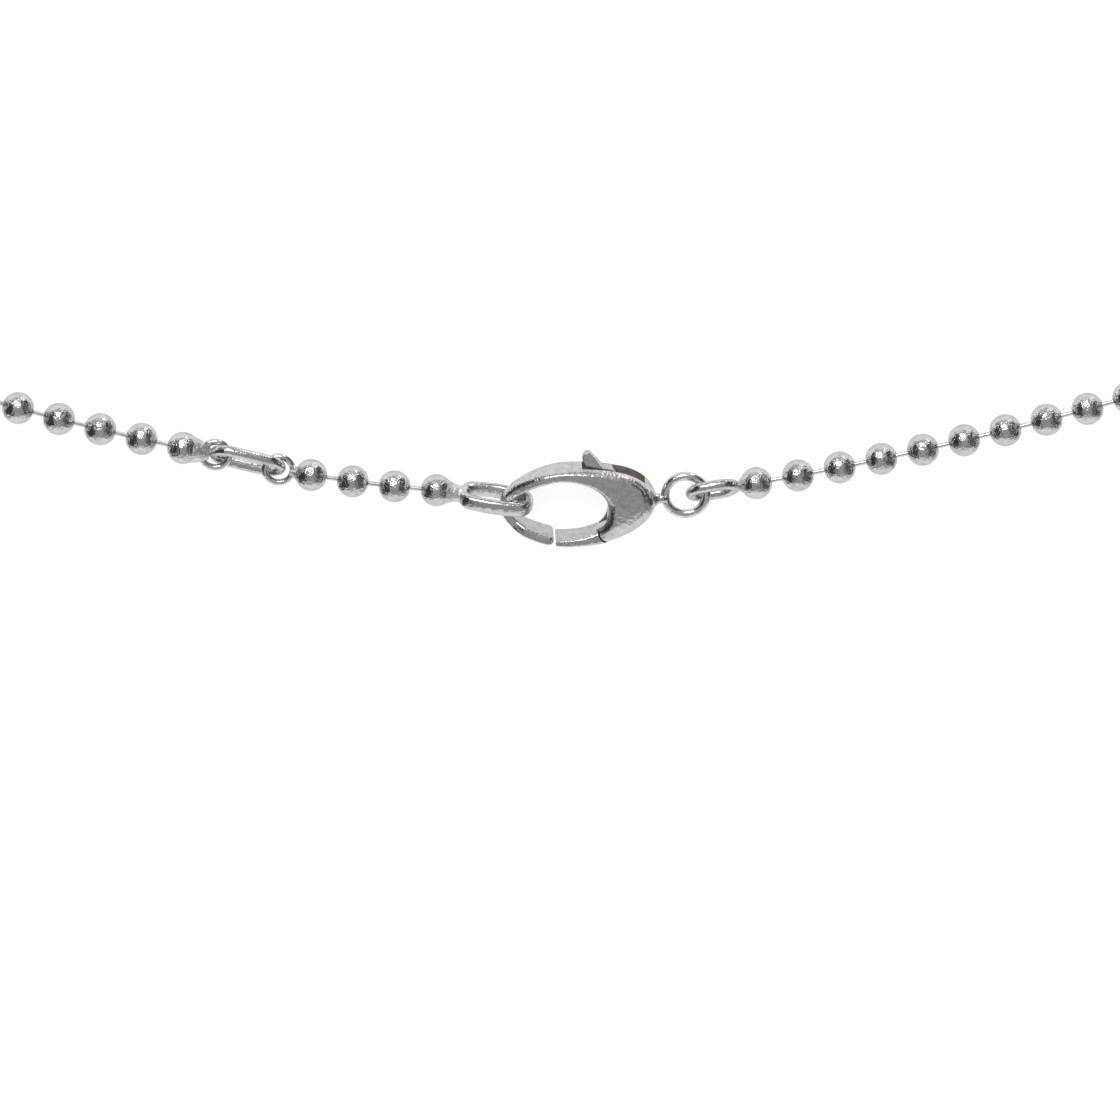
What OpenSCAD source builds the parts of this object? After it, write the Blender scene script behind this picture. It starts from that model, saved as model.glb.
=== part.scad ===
/* [Chain] */
// Diameter of a ball
ball_d = 3; // [2.96:0.01:3.04]
// Thickness of a hollow ball's wall
ball_wall = 0.3; // [0.28:0.01:0.32]
// Diameter of the hole that a bar passes through
hole_d = 0.86; // [0.84:0.01:0.88]
// Diameter of the bar between two balls
bar_d = 0.45; // [0.41:0.01:0.47]
// Diameter of the round head on each end of a bar
head_d = 1.04; // [1:0.01:1.06]
// Distance from a ball's middle to the head inside it
head_in = 0.58; // [0.57:0.01:0.6]
// Distance between the balls of the long chain
pitch = 3.94; // [3.9:0.01:3.96]
// Distance between the balls of the short chain
short_pitch = 3.9; // [3.86:0.01:3.94]
// Number of balls in the long chain
long_balls = 102; // [96:1:108]
// Number of balls in the short chain
short_balls = 4; // [4:1:4]

/* [Lie of the chain] */
// Heading of the long chain where it leaves the clasp
right_heading = 10.9; // [10.5:0.1:11.3]
// Radius of the long chain's run to the right
right_run_r = 313; // [300:1:330]
// Turn of the run to the right
right_run_turn = 7; // [6:0.5:8]
// Slope of the long chain where it comes back to the station link
left_heading = 12.9; // [12.5:0.1:13.3]
// Radius of the long chain's run on the left
left_run_r = 237; // [225:1:250]
// Turn of the run on the left
left_run_turn = 5; // [4:0.5:6]
// Half of the turn along the side opposite the clasp
back_half_turn = 30; // [20:1:40]
// Slope of the short chain where it leaves the hook link
short_heading = 4.7; // [4.5:0.1:4.9]
// Radius of the short chain
short_r = 117; // [110:1:125]

/* [Links] */
// Wire of the round eyes
eye_wire = 0.62; // [0.58:0.01:0.64]
// Mean diameter of the round eyes
eye_d = 2.58; // [2.56:0.01:2.6]
// Length of the station link
station_l = 7.24; // [7.22:0.01:7.26]
// Width of the station link
station_w = 4.11; // [4.09:0.01:4.13]
// Thickness of the station link's flat wire
station_wire = 0.88; // [0.84:0.01:0.89]
// How much broader than thick that wire is
station_broad = 0.1; // [0.06:0.01:0.11]
// Length of the link on the hook
hook_link_l = 6.96; // [6.93:0.01:6.99]
// Width of the link on the hook
hook_link_w = 3.6; // [3.58:0.01:3.62]
// Length of the link in the tail ring
tail_link_l = 5.2; // [5.18:0.01:5.22]
// Width of the link in the tail ring
tail_link_w = 3.9; // [3.88:0.01:3.92]
// Thickness of the flat wire of the link on the hook
hook_link_wire = 0.84; // [0.8:0.01:0.85]
// How much broader than thick that wire is
hook_link_broad = 0.62; // [0.58:0.01:0.63]
// Wire of the link in the tail ring
tail_link_wire = 1; // [0.97:0.01:1.01]

/* [Clasp] */
// Half length of the clasp
clasp_a = 7.2; // [7.15:0.01:7.25]
// Half height of the clasp
clasp_b = 4.08; // [4.04:0.01:4.12]
// Half length of the opening
opening_a = 4.6; // [4.55:0.01:4.65]
// Half height of the opening
opening_b = 3; // [2.95:0.01:3.05]
// Height of the clasp's middle above the surface it lies on
clasp_z = 1.96; // [1.95:0.01:2]
// How far the hook leans up off the surface
clasp_lean = 1.5; // [1.4:0.1:1.6]
// Width of the slot for the lever
slot_w = 1.7; // [1.65:0.05:1.75]
// Thickness of the lever in the slot
lever_w = 1.3; // [1.2:0.05:1.35]
// Diameter of the hinge pin
pin_d = 0.76; // [0.7:0.02:0.76]
// Radius of the seam between the body and the gate
seam_r = 1.62; // [1.6:0.01:1.64]
// Mean diameter of the tail ring
tail_ring_d = 3.8; // [3.78:0.01:3.82]
// Wire of the tail ring
tail_ring_wire = 0.84; // [0.8:0.01:0.85]

/* [Hidden] */
$fn = 48;
silver = [0.78, 0.78, 0.76];
bright_silver = [0.86, 0.86, 0.84];

ball_r = ball_d / 2;
tail_ball = [16.435, 1.612];
hook_ball = [-13.14, 0.892];
far_ball = [-36.56, 5.169];

// A point on the plan after an arc from point p with heading h, radius r and a turn to the left
function arc_end(p, h, r, turn) = p + r * [sin(h + turn) - sin(h), cos(h) - cos(h + turn)];
// The plan's x and y change and the length that one millimetre of radius adds to an arc
function arc_effect(h0, h1) = [sin(h1) - sin(h0), cos(h0) - cos(h1), (h1 - h0) * PI / 180];
function det3(a, b, c) = cross(a, b) * c;

// Headings where the five arcs of the long chain meet
headings = [
    right_heading, right_heading + right_run_turn, 180 - back_half_turn, 180 + back_half_turn,
    360 - left_heading - left_run_turn, 360 - left_heading
];
effects = [for (i = [0:4]) arc_effect(headings[i], headings[i + 1])];
span = far_ball - tail_ball;
long_l = (long_balls - 1) * pitch;
// What the three hidden arcs still have to cover
missing = [span[0], span[1], long_l] - right_run_r * effects[0] - left_run_r * effects[4];
hidden_det = det3(effects[1], effects[2], effects[3]);
radii = [
    right_run_r,
    det3(missing, effects[2], effects[3]) / hidden_det,
    det3(effects[1], missing, effects[3]) / hidden_det,
    det3(effects[1], effects[2], missing) / hidden_det,
    left_run_r
];
function arc_start(i) = i == 0 ? tail_ball
    : arc_end(arc_start(i - 1), headings[i - 1], radii[i - 1], headings[i] - headings[i - 1]);
function arc_l(i) = radii[i] * effects[i][2];
// Place and heading on the long chain at a distance s along it
function along(s, i = 0) = i < 4 && s > arc_l(i) ? along(s - arc_l(i), i + 1)
    : let (turn = s / radii[i] * 180 / PI)
        [arc_end(arc_start(i), headings[i], radii[i], turn), headings[i] + turn];
// The same on the short chain, which runs to the left from the hook link's ball
function along_short(s) = let (turn = s / short_r * 180 / PI, h = 180 - short_heading)
    [arc_end(hook_ball, h, -short_r, -turn), h - turn];

long_row = [for (k = [0:long_balls - 1]) along(k * pitch)];
short_row = [for (k = [0:short_balls - 1]) along_short(k * short_pitch)];

// The loop's own box, which puts the origin under its middle
function arc_point(i, h) = arc_end(arc_start(i), headings[i], radii[i], h - headings[i]);
loop_right = arc_point(1, 90)[0];
loop_back = arc_point(2, 180)[1];
loop_left = arc_point(3, 270)[0];
clasp_drop = 0.25;
loop_front = -clasp_drop - clasp_b;
loop_middle = [(loop_right + loop_left) / 2, (loop_back + ball_r + loop_front) / 2, 0];

module from_loop_middle() {
    translate(-loop_middle) children();
}

// Sections of a ball's wall and of a bar, turned about the line of the chain
module wall_section(holes) {
    difference() {
        intersection() {
            circle(r = ball_r);
            translate([0, -ball_r]) square([ball_r, ball_d]);
        }
        circle(r = ball_r - ball_wall);
        translate([0, holes == 2 ? -ball_d : 0]) square([hole_d / 2, holes * ball_d]);
    }
}

module bar_section(l) {
    intersection() {
        union() {
            circle(d = head_d);
            translate([0, l]) circle(d = head_d);
            square([bar_d / 2, l]);
        }
        translate([0, -head_d]) square([head_d, l + 2 * head_d]);
    }
}

module ball(p, heading, holes = 2) {
    translate([p[0], p[1], ball_r]) rotate([0, 90, heading]) rotate_extrude() wall_section(holes);
}

module bar(a, b) {
    d = b - a;
    l = norm(d) - 2 * head_in;
    translate([a[0], a[1], ball_r])
        rotate([0, 90, atan2(d[1], d[0])])
            translate([0, 0, head_in]) rotate_extrude() bar_section(l);
}

module chain(row) {
    last = len(row) - 1;
    for (k = [1:last - 1]) ball(row[k][0], row[k][1]);
    for (k = [0:last - 1]) bar(row[k][0], row[k + 1][0]);
}

// Solder between a ball and the link beyond it
module solder(l, d) {
    translate([ball_r - ball_wall / 2, 0, 0]) rotate([0, 90, 0]) cylinder(d = d, h = l);
}

module round_ring(mean_d, wire) {
    rotate_extrude() translate([mean_d / 2, 0]) circle(d = wire);
}

// Section of a link's wire: round, or broader along y where it is a band
module wire_section(wire, broad) {
    if (broad > 0) {
        square([wire, broad], center = true);
        for (side = [-1, 1]) translate([0, side * broad / 2]) circle(d = wire);
    } else {
        circle(d = wire);
    }
}

// Oval link in the xy plane, its length along x: two half rings joined by two straight sides
module oval_link(l, w, wire, broad = 0) {
    end_r = (w - wire) / 2;
    straight = l - w;
    for (side = [0, 1]) mirror([side, 0, 0]) {
        translate([straight / 2, 0, 0])
            rotate([0, 0, -90])
                rotate_extrude(angle = 180) translate([end_r, 0]) wire_section(wire, broad);
        translate([-straight / 2, end_r * (1 - 2 * side), 0])
            rotate([90, 0, 90]) linear_extrude(straight) wire_section(wire, broad);
    }
}

// Turns a link's own frame: heading on the plan, rise of its nose, roll about its length
module lie(heading, rise, roll) {
    rotate([0, 0, heading]) rotate([0, -rise, 0]) rotate([roll, 0, 0]) children();
}

// The two eyes lie flat beside their balls, in line with the chain
eye_reach = ball_r + (eye_d + eye_wire) / 2 - 0.06;

module eye_on(p, heading) {
    translate([p[0], p[1], ball_r]) rotate([0, 0, heading]) {
        translate([eye_reach, 0, 0]) round_ring(eye_d, eye_wire);
        children();
    }
}

module chain_long() {
    color(silver) from_loop_middle() chain(long_row);
}

module chain_short() {
    color(silver) from_loop_middle() chain(short_row);
}

// The long chain's eye has a heap of solder that reaches a little way into the eye
module long_chain_eye() {
    last = long_row[long_balls - 1];
    heap_start = 0.95;
    heap_end = 2.28;
    color(silver) from_loop_middle() {
        ball(last[0], last[1] + 180, 1);
        eye_on(last[0], last[1])
            translate([heap_start, 0, 0])
                rotate([0, 90, 0]) cylinder(d1 = 2.2, d2 = 1.4, h = heap_end - heap_start);
    }
}

module short_chain_eye() {
    last = short_row[short_balls - 1];
    color(silver) from_loop_middle() {
        ball(last[0], last[1] + 180, 1);
        eye_on(last[0], last[1]) solder(eye_solder_l, eye_solder_d);
    }
}

// The station link leans in the two eyes
station_mid = [-30.613, 3.969, 1.694];

module station_link() {
    heading = -14.54;
    rise = -0.18;
    roll = 48.5;
    color(bright_silver) from_loop_middle()
        translate(station_mid)
            lie(heading, rise, roll)
                oval_link(station_l, station_w, station_wire, station_broad);
}

// The link on the hook stands on its edge, its near side over the hook and its far side under it.
// Solder reaches from the ball to a link, with this much of its length inside the link's wire
solder_end = 0.55;
hook_solder_d = 1;
tail_solder_d = 0.9;
eye_solder_l = 0.5;
eye_solder_d = 0.7;

module hook_link() {
    neck = 0.59;
    heading = -7.2;
    rise = 4.96;
    roll = 100.4;
    color(bright_silver) from_loop_middle() {
        ball(hook_ball, short_row[0][1], 1);
        translate([hook_ball[0], hook_ball[1], ball_r])
            lie(heading, rise, roll) {
                translate([ball_r + neck + hook_link_l / 2, 0, 0])
                    oval_link(hook_link_l, hook_link_w, hook_link_wire, hook_link_broad);
                solder(neck + solder_end, hook_solder_d);
            }
    }
}

module tail_link() {
    sunk = 0.05;
    heading = 189.25;
    rise = 2.1;
    roll = -50.6;
    color(bright_silver) from_loop_middle() {
        ball(tail_ball, right_heading, 1);
        translate([tail_ball[0], tail_ball[1], ball_r])
            lie(heading, rise, roll) {
                translate([ball_r - sunk + tail_link_l / 2, 0, 0])
                    oval_link(tail_link_l, tail_link_w, tail_link_wire);
                solder(solder_end, tail_solder_d);
            }
    }
}

// Clasp, drawn flat in its own plane with the hook on the left
opening_mid = [-1.7, -0.44];
right_a = opening_a - 0.15;
top_power = 2.12;
gate_power = 2.5;
arm_drop = 0.7;
nose_extra = 0.1;
tail_rise = 0.4;
skew_1 = 15;
skew_2 = 9;
pivot = [3.465, -2.405];
tip_angle = 262.4;
body_end_angle = -58;
gate_tip_angle = -97;
gate_end_angle = -30;
// Columns: angle round the opening, half depth at the rim, dome of the outer side beyond the rim,
// extra metal inside the opening, bevel along the opening, share of the arm's own rounded front
ANGLE = 0;
HALF_DEPTH = 1;
DOME = 2;
INSET = 3;
BEVEL = 4;
ARM = 5;
body_rows = [
    [-58, 1.5, 0.5, 0, 0.4, 0],
    [-45, 1.52, 0.8, 0, 0.5, 0],
    [-32, 1.6, 1.1, 0, 0.6, 0],
    [-18, 1.66, 1.3, 0, 0.65, 0],
    [0, 1.68, 1.3, 0, 0.6, 0],
    [20, 1.68, 1.2, 0, 0.45, 0.1],
    [45, 1.65, 1, 0, 0.3, 0.5],
    [70, 1.62, 0.8, 0, 0.1, 0.9],
    [90, 1.58, 0.6, 0, 0.05, 1],
    [105, 1.48, 0.6, 0, 0.05, 1],
    [120, 1.3, 0.6, 0, 0.05, 1],
    [135, 1.03, 0.6, 0, 0.05, 1],
    [150, 0.78, 0.5, 0, 0.05, 1],
    [165, 0.66, 0.4, 0, 0.05, 0.9],
    [190, 0.66, 0.3, 0.03, 0.1, 0.5],
    [205, 0.8, 0.3, 0.18, 0.15, 0.2],
    [222, 1.35, 0.3, 0.45, 0.25, 0],
    [240, 1.55, 0.35, 0.47, 0.3, 0],
    [263, 1.6, 0.35, 0.36, 0.3, 0]
];
gate_rows = [
    [-97, 1.5, 0.3, 0, 0.25, 0],
    [-60, 1.5, 0.4, 0, 0.35, 0],
    [-30, 1.52, 0.9, 0, 0.5, 0]
];
// The arm's front: share of its thickness, share of its half depth; flat, a ridge, a steep wall
arm_front = [
    [0, 0.94], [0.07, 0.98], [0.14, 1], [0.48, 0.985], [0.58, 0.955], [0.66, 0.9], [0.72, 0.82],
    [0.78, 0.69], [0.85, 0.49], [0.92, 0.27], [1, 0]
];

function signed_power(x, e) = sign(x) * pow(abs(x), e);
// The opening: rounder along the arm, squarer at the lever's knuckle, lower towards the nose
function opening_point(t) =
    let (
        right = cos(t) > 0,
        e = 2 / (right && sin(t) < 0 ? gate_power : right ? top_power : 2),
        drop = arm_drop * max(0, -cos(t)) * max(0, sin(t))
    )
    opening_mid + [
        (right ? right_a : opening_a) * signed_power(cos(t), e),
        opening_b * signed_power(sin(t), e) - drop
    ];
function outline_point(t) = let (s = t + skew_1 * sin(t) + skew_2 * sin(2 * t))
    [
        (clasp_a + (cos(s) < 0 ? nose_extra : 0)) * cos(s),
        clasp_b * sin(s) - clasp_drop + tail_rise * max(0, cos(s)) ^ 2
    ];
function column(rows, c) = [for (row = rows) [row[ANGLE], row[c]]];

// Height of a section's front at a distance q out from the opening
function plain_height(q, h, bevel, rim, dome) =
    q < bevel ? h - bevel_depth * bevel * (1 - q / bevel) ^ 2
    : q < rim ? h
    : h * sqrt(max(0, 1 - ((q - rim) / dome) ^ 2));

// One section of the clasp: 23 points round it, from the opening out over the front and back
bevel_depth = 0.75;
dome_steps = [18, 36, 54, 72];
function section(t, rows) =
    let (
        inset = lookup(t, column(rows, INSET)),
        h = lookup(t, column(rows, HALF_DEPTH)),
        dome = lookup(t, column(rows, DOME)),
        bevel = lookup(t, column(rows, BEVEL)),
        arm = lookup(t, column(rows, ARM)),
        inner = opening_point(t),
        way = outline_point(t) - inner,
        out = way / norm(way),
        thick = norm(way) + inset,
        rim = thick - dome,
        start = inner - out * inset,
        reaches = concat(
            [0, bevel / 2, bevel], [for (q = [1, 2]) bevel + (rim - bevel) * q / 3], [rim],
            [for (a = dome_steps) rim + dome * sin(a)]
        ),
        front = [for (q = reaches) [
            q, plain_height(q, h, bevel, rim, dome) * (1 - arm) + h * lookup(q / thick, arm_front) * arm
        ]],
        back = [for (k = [len(front) - 1:-1:0]) [front[k][0], -front[k][1]]]
    )
    [for (q = concat(front, [[thick, 0]], back))
        [start[0] + out[0] * q[0], start[1] + out[1] * q[0], q[1]]];

// Skin over a row of sections, closed at both ends
module swept(angles, rows) {
    sections = [for (t = angles) section(t, rows)];
    n = len(sections[0]);
    last = len(sections) - 1;
    sides = [for (i = [0:last - 1], j = [0:n - 1]) let (k = (j + 1) % n)
        each [
            [i * n + j, (i + 1) * n + j, (i + 1) * n + k],
            [i * n + j, (i + 1) * n + k, i * n + k]
        ]];
    ends = [[for (j = [0:n - 1]) j], [for (j = [n - 1:-1:0]) last * n + j]];
    polyhedron(points = [for (s = sections) each s], faces = concat(sides, ends), convexity = 6);
}

function steps(from, to, count) = [for (k = [0:count]) from + (to - from) * k / count];

// Wedge from the pivot that clears the gate's root, and the room that the gate fills
wedge_reach = 3.5;
root_wedge = concat([pivot], [for (a = [148:6:256]) pivot + wedge_reach * [cos(a), sin(a)]]);
gate_room = [
    [-2.14, -0.8], [-2.14, -3.75], [-2.02, -4.05], [-1.7, -4.3], [-1.2, -4.6], [2.84, -4.93],
    pivot, [0.92, -0.815]
];

// Slot between the cheeks, open at the top and at the seam
slot_outline = [
    [0.3, 6], [0.3, 3.25], [0.85, 2.9], [1.9, 2.3], [2.78, 1.5], [3.3, 0.6], [3.48, -0.4],
    [3.28, -1], [2.9, -1.4], [1, -1.4], [1, -3.2], [1.9, -3.3], [2.6, -3.42], [3.46, -3.32],
    [4.3, -3.05], [5, -2.4], [5.8, -1.2], [6.2, 0.6], [6.1, 3], [6.1, 6]
];
// Lever between the cheeks, from the nib down round the pin to the root of the gate
lever_outline = [
    [0.66, 3.59], [0.38, 4.2], [0.33, 4.55], [0.45, 4.8], [0.65, 4.96], [0.95, 5.04], [1.06, 4.96],
    [2.23, 3.55], [3.1, 3.4], [3.4, 3.1], [3.75, 2.4], [4.3, 1.4], [4.62, 0], [4.55, -1.4],
    [4.26, -2.4], [3.9, -3.05], [3.3, -3.18], [2.5, -3.25], [1.6, -3.2], [1.3, -2.95],
    [1.75, -2.6], [2.7, -2], [3.2, -1.45], [3.62, -0.4], [3.42, 0.75], [2.87, 1.72], [2, 2.48],
    [1.2, 3.05]
];

// A drilling or a knuckle at the pivot, and the clasp's whole depth to cut through
through = 6;
wedge_depth = 5;
pin_l = 2.46;
pin_end_gap = 0.02;
pin_seat_gap = 0.02;
pin_run_gap = 0.08;
seam_gap = 0.08;

module at_pivot(d, l) {
    translate([pivot[0], pivot[1], -l / 2]) cylinder(d = d, h = l);
}

module clasp_place() {
    from_loop_middle() translate([0, 0, clasp_z]) rotate([0, clasp_lean, 0]) children();
}

module flat_plate(outline, thick) {
    linear_extrude(thick, center = true) polygon(outline);
}

// Round ring at the clasp's tail, on a short neck sunk into both
module tail_ring() {
    ring_mid = [9.92, 0.5];
    neck_start = [6.6, 0.05];
    neck_d = 0.95;
    neck_sunk = 0.1;
    neck = ring_mid - neck_start;
    translate([ring_mid[0], ring_mid[1], 0]) round_ring(tail_ring_d, tail_ring_wire);
    translate([neck_start[0], neck_start[1], 0])
        rotate([0, 90, atan2(neck[1], neck[0])])
            cylinder(d = neck_d, h = norm(neck) - tail_ring_d / 2 + neck_sunk);
}

module clasp_body() {
    body_sections = 48;
    color(silver) clasp_place() difference() {
        union() {
            swept(steps(body_end_angle, tip_angle, body_sections), body_rows);
            tail_ring();
        }
        difference() {
            flat_plate(root_wedge, wedge_depth);
            at_pivot(2 * seam_r, through);
        }
        flat_plate(slot_outline, slot_w);
        at_pivot(pin_d + pin_seat_gap, pin_l + 2 * pin_end_gap);
    }
}

module clasp_lever() {
    gate_sections = 12;
    color(silver) clasp_place() difference() {
        union() {
            intersection() {
                difference() {
                    swept(steps(gate_tip_angle, gate_end_angle, gate_sections), gate_rows);
                    at_pivot(2 * (seam_r + seam_gap), through);
                }
                flat_plate(gate_room, wedge_depth);
            }
            flat_plate(lever_outline, lever_w);
        }
        at_pivot(pin_d + pin_run_gap, through);
    }
}

module clasp_pin() {
    color(silver) clasp_place() at_pivot(pin_d, pin_l);
}

chain_long();
chain_short();
long_chain_eye();
short_chain_eye();
station_link();
hook_link();
tail_link();
clasp_body();
clasp_lever();
clasp_pin();
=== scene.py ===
import math

import bpy
from mathutils import Matrix, Vector


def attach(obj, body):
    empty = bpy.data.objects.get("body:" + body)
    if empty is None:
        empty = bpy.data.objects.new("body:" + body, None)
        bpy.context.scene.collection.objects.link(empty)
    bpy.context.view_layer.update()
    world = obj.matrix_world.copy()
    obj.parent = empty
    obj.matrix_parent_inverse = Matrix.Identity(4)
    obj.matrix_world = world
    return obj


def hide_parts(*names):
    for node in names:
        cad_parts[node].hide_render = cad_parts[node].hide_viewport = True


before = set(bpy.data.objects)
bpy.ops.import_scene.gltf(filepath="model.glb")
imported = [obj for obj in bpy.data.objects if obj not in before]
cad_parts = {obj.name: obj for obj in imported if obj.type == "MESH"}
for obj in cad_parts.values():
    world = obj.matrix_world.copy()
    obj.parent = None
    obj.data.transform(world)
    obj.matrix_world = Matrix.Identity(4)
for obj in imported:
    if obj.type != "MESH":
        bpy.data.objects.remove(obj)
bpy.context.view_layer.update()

# The metal is shaped in millimetres and brought to metres last
MM = 0.001
FULL_TURN = 2 * math.pi

# Sizes of the chain
BALL_R = 1.5
BALL_WALL = 0.3
HOLE_R = 0.43
HOLE_LIP = 0.05
BAR_R = 0.225
HEAD_R = 0.52
HEAD_IN = 0.58
PITCH = 3.94
SHORT_PITCH = 3.9
LONG_BALLS = 102
SHORT_BALLS = 4

# Headings in degrees of the five arcs that the long chain lies on, and the two radii that show
HEADINGS = (10.9, 17.9, 150, 210, 342.1, 347.1)
RIGHT_R = 313
LEFT_R = 237
SHORT_HEADING = 4.7
SHORT_R = 117
TAIL_BALL = (16.435, 1.612)
HOOK_BALL = (-13.14, 0.892)
FAR_BALL = (-36.56, 5.169)

# Clasp
CLASP_Z = 1.96
CLASP_LEAN = 1.5
CLASP_DROP = 0.25
CLASP_A = 7.2
CLASP_B = 4.08
OPENING_A = 4.6
OPENING_B = 3
OPENING_MID = (-1.7, -0.44)
PIVOT = (3.465, -2.405)
SEAM_R = 1.62
SEAM_GAP = 0.14
SLOT_W = 1.7
LEVER_W = 1.3
BORE_R = 0.45
BORE_DEPTH = 3
NIB_FOOT = 3.6
NIB_TALL = 1.2
NIB_TAPER = 0.4
# The neck: its start, its radius at the start, the end and the waist, and how far short of the
# middle of the tail ring it ends
NECK_START = (6.6, 0.05)
NECK_RADII = (1.1, 0.62, 0.5)
NECK_SHORT = 1.75
TAIL_MID = (9.92, 0.5)
TAIL_D = 3.8
TAIL_WIRE = 0.84
WEDGE_R = 3.5


# The lie of the necklace

def sin(degrees):
    return math.sin(math.radians(degrees))


def cos(degrees):
    return math.cos(math.radians(degrees))


def arc_end(point, heading, radius, turn):
    return (
        point[0] + radius * (sin(heading + turn) - sin(heading)),
        point[1] + radius * (cos(heading) - cos(heading + turn)),
    )


def arc_effect(h0, h1):
    return Vector((sin(h1) - sin(h0), cos(h0) - cos(h1), math.radians(h1 - h0)))


def det3(a, b, c):
    return a.cross(b).dot(c)


def long_chain_radii():
    """The two arcs that show have set radii; the three others close the loop at its real length."""
    effects = [arc_effect(HEADINGS[i], HEADINGS[i + 1]) for i in range(5)]
    span = Vector((FAR_BALL[0] - TAIL_BALL[0], FAR_BALL[1] - TAIL_BALL[1], (LONG_BALLS - 1) * PITCH))
    missing = span - RIGHT_R * effects[0] - LEFT_R * effects[4]
    whole = det3(effects[1], effects[2], effects[3])
    return [
        RIGHT_R,
        det3(missing, effects[2], effects[3]) / whole,
        det3(effects[1], missing, effects[3]) / whole,
        det3(effects[1], effects[2], missing) / whole,
        LEFT_R,
    ]


RADII = long_chain_radii()
ARC_STARTS = [TAIL_BALL]
for i in range(4):
    ARC_STARTS.append(arc_end(ARC_STARTS[i], HEADINGS[i], RADII[i], HEADINGS[i + 1] - HEADINGS[i]))


def along_long(distance):
    """Place and heading on the long chain."""
    for i in range(5):
        arc = RADII[i] * math.radians(HEADINGS[i + 1] - HEADINGS[i])
        if distance <= arc or i == 4:
            turn = math.degrees(distance / RADII[i])
            return arc_end(ARC_STARTS[i], HEADINGS[i], RADII[i], turn), HEADINGS[i] + turn
        distance -= arc


def along_short(distance):
    heading = 180 - SHORT_HEADING
    turn = math.degrees(distance / SHORT_R)
    return arc_end(HOOK_BALL, heading, -SHORT_R, -turn), heading - turn


def arc_point(i, heading):
    return arc_end(ARC_STARTS[i], HEADINGS[i], RADII[i], heading - HEADINGS[i])


LOOP_MIDDLE = Vector((
    (arc_point(1, 90)[0] + arc_point(3, 270)[0]) / 2,
    (arc_point(2, 180)[1] + BALL_R - CLASP_DROP - CLASP_B) / 2,
    0,
))
LONG_ROW = [along_long(k * PITCH) for k in range(LONG_BALLS)]
SHORT_ROW = [along_short(k * SHORT_PITCH) for k in range(SHORT_BALLS)]


def turned_by(x=0, y=0, z=0):
    """Turns about x, then y, then z, in degrees."""
    return (
        Matrix.Rotation(math.radians(z), 4, "Z")
        @ Matrix.Rotation(math.radians(y), 4, "Y")
        @ Matrix.Rotation(math.radians(x), 4, "X")
    )


def set_down(x, y, z):
    return Matrix.Translation(Vector((x, y, z)) - LOOP_MIDDLE)


def on_chain(place, heading):
    """Frame of a chain part: its z axis runs along the chain."""
    return set_down(place[0], place[1], BALL_R) @ turned_by(y=90, z=heading)


def lying_link(heading, rise, roll):
    return turned_by(z=heading) @ turned_by(y=-rise) @ turned_by(x=roll)


CLASP_FRAME = set_down(0, 0, CLASP_Z) @ turned_by(y=CLASP_LEAN)


# Modelling by hand

def pick(obj):
    bpy.ops.object.select_all(action="DESELECT")
    obj.select_set(True)
    bpy.context.view_layer.objects.active = obj


def newest(name):
    obj = bpy.context.active_object
    obj.name = name
    obj.data.name = name
    return obj


def close_up(obj, gap=1e-4):
    """Merges doubles, drops edges without a face and turns every face outwards."""
    pick(obj)
    bpy.ops.object.mode_set(mode="EDIT")
    bpy.ops.mesh.select_all(action="SELECT")
    bpy.ops.mesh.remove_doubles(threshold=gap)
    bpy.ops.mesh.delete_loose(use_verts=True, use_edges=True, use_faces=False)
    bpy.ops.mesh.select_all(action="SELECT")
    bpy.ops.mesh.normals_make_consistent(inside=False)
    bpy.ops.object.mode_set(mode="OBJECT")


def spun(name, outline, steps):
    """A ring of points set on the section's outline (radius, height), then spun about the z axis."""
    bpy.ops.object.select_all(action="DESELECT")
    bpy.ops.mesh.primitive_circle_add(vertices=len(outline), radius=1)
    obj = newest(name)
    for vertex, (radius, height) in zip(obj.data.vertices, outline):
        vertex.co = (radius, 0, height)
    pick(obj)
    bpy.ops.object.mode_set(mode="EDIT")
    bpy.ops.mesh.select_all(action="SELECT")
    bpy.ops.mesh.spin(steps=steps, angle=FULL_TURN, center=(0, 0, 0), axis=(0, 0, 1))
    bpy.ops.object.mode_set(mode="OBJECT")
    close_up(obj)
    return obj


def wrapped(name, rings):
    """A sheet wrapped round a row of rings, joined along its seam and closed at both ends."""
    around, rows = len(rings[0]), len(rings)
    bpy.ops.object.select_all(action="DESELECT")
    bpy.ops.mesh.primitive_grid_add(x_subdivisions=around, y_subdivisions=rows - 1, size=1)
    obj = newest(name)
    for vertex in obj.data.vertices:
        row, column = divmod(vertex.index, around + 1)
        vertex.co = rings[row][column % around]
    close_up(obj)
    pick(obj)
    bpy.ops.object.mode_set(mode="EDIT")
    bpy.ops.mesh.select_all(action="SELECT")
    bpy.ops.mesh.fill_holes(sides=0)
    bpy.ops.mesh.select_all(action="SELECT")
    bpy.ops.mesh.normals_make_consistent(inside=False)
    bpy.ops.object.mode_set(mode="OBJECT")
    return obj


def cut_with(obj, tool, operation="DIFFERENCE"):
    """Takes the tool's shape out of the piece, or keeps only what is inside it."""
    pick(obj)
    cut = obj.modifiers.new("cut", "BOOLEAN")
    cut.operation = operation
    cut.solver = "EXACT"
    cut.material_mode = "TRANSFER"
    cut.object = tool
    bpy.ops.object.modifier_apply(modifier=cut.name)
    bpy.data.objects.remove(tool)


def join_all(name, parts):
    bpy.ops.object.select_all(action="DESELECT")
    for part in parts:
        part.select_set(True)
    bpy.context.view_layer.objects.active = parts[0]
    if len(parts) > 1:
        bpy.ops.object.join()
    return newest(name)


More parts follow.
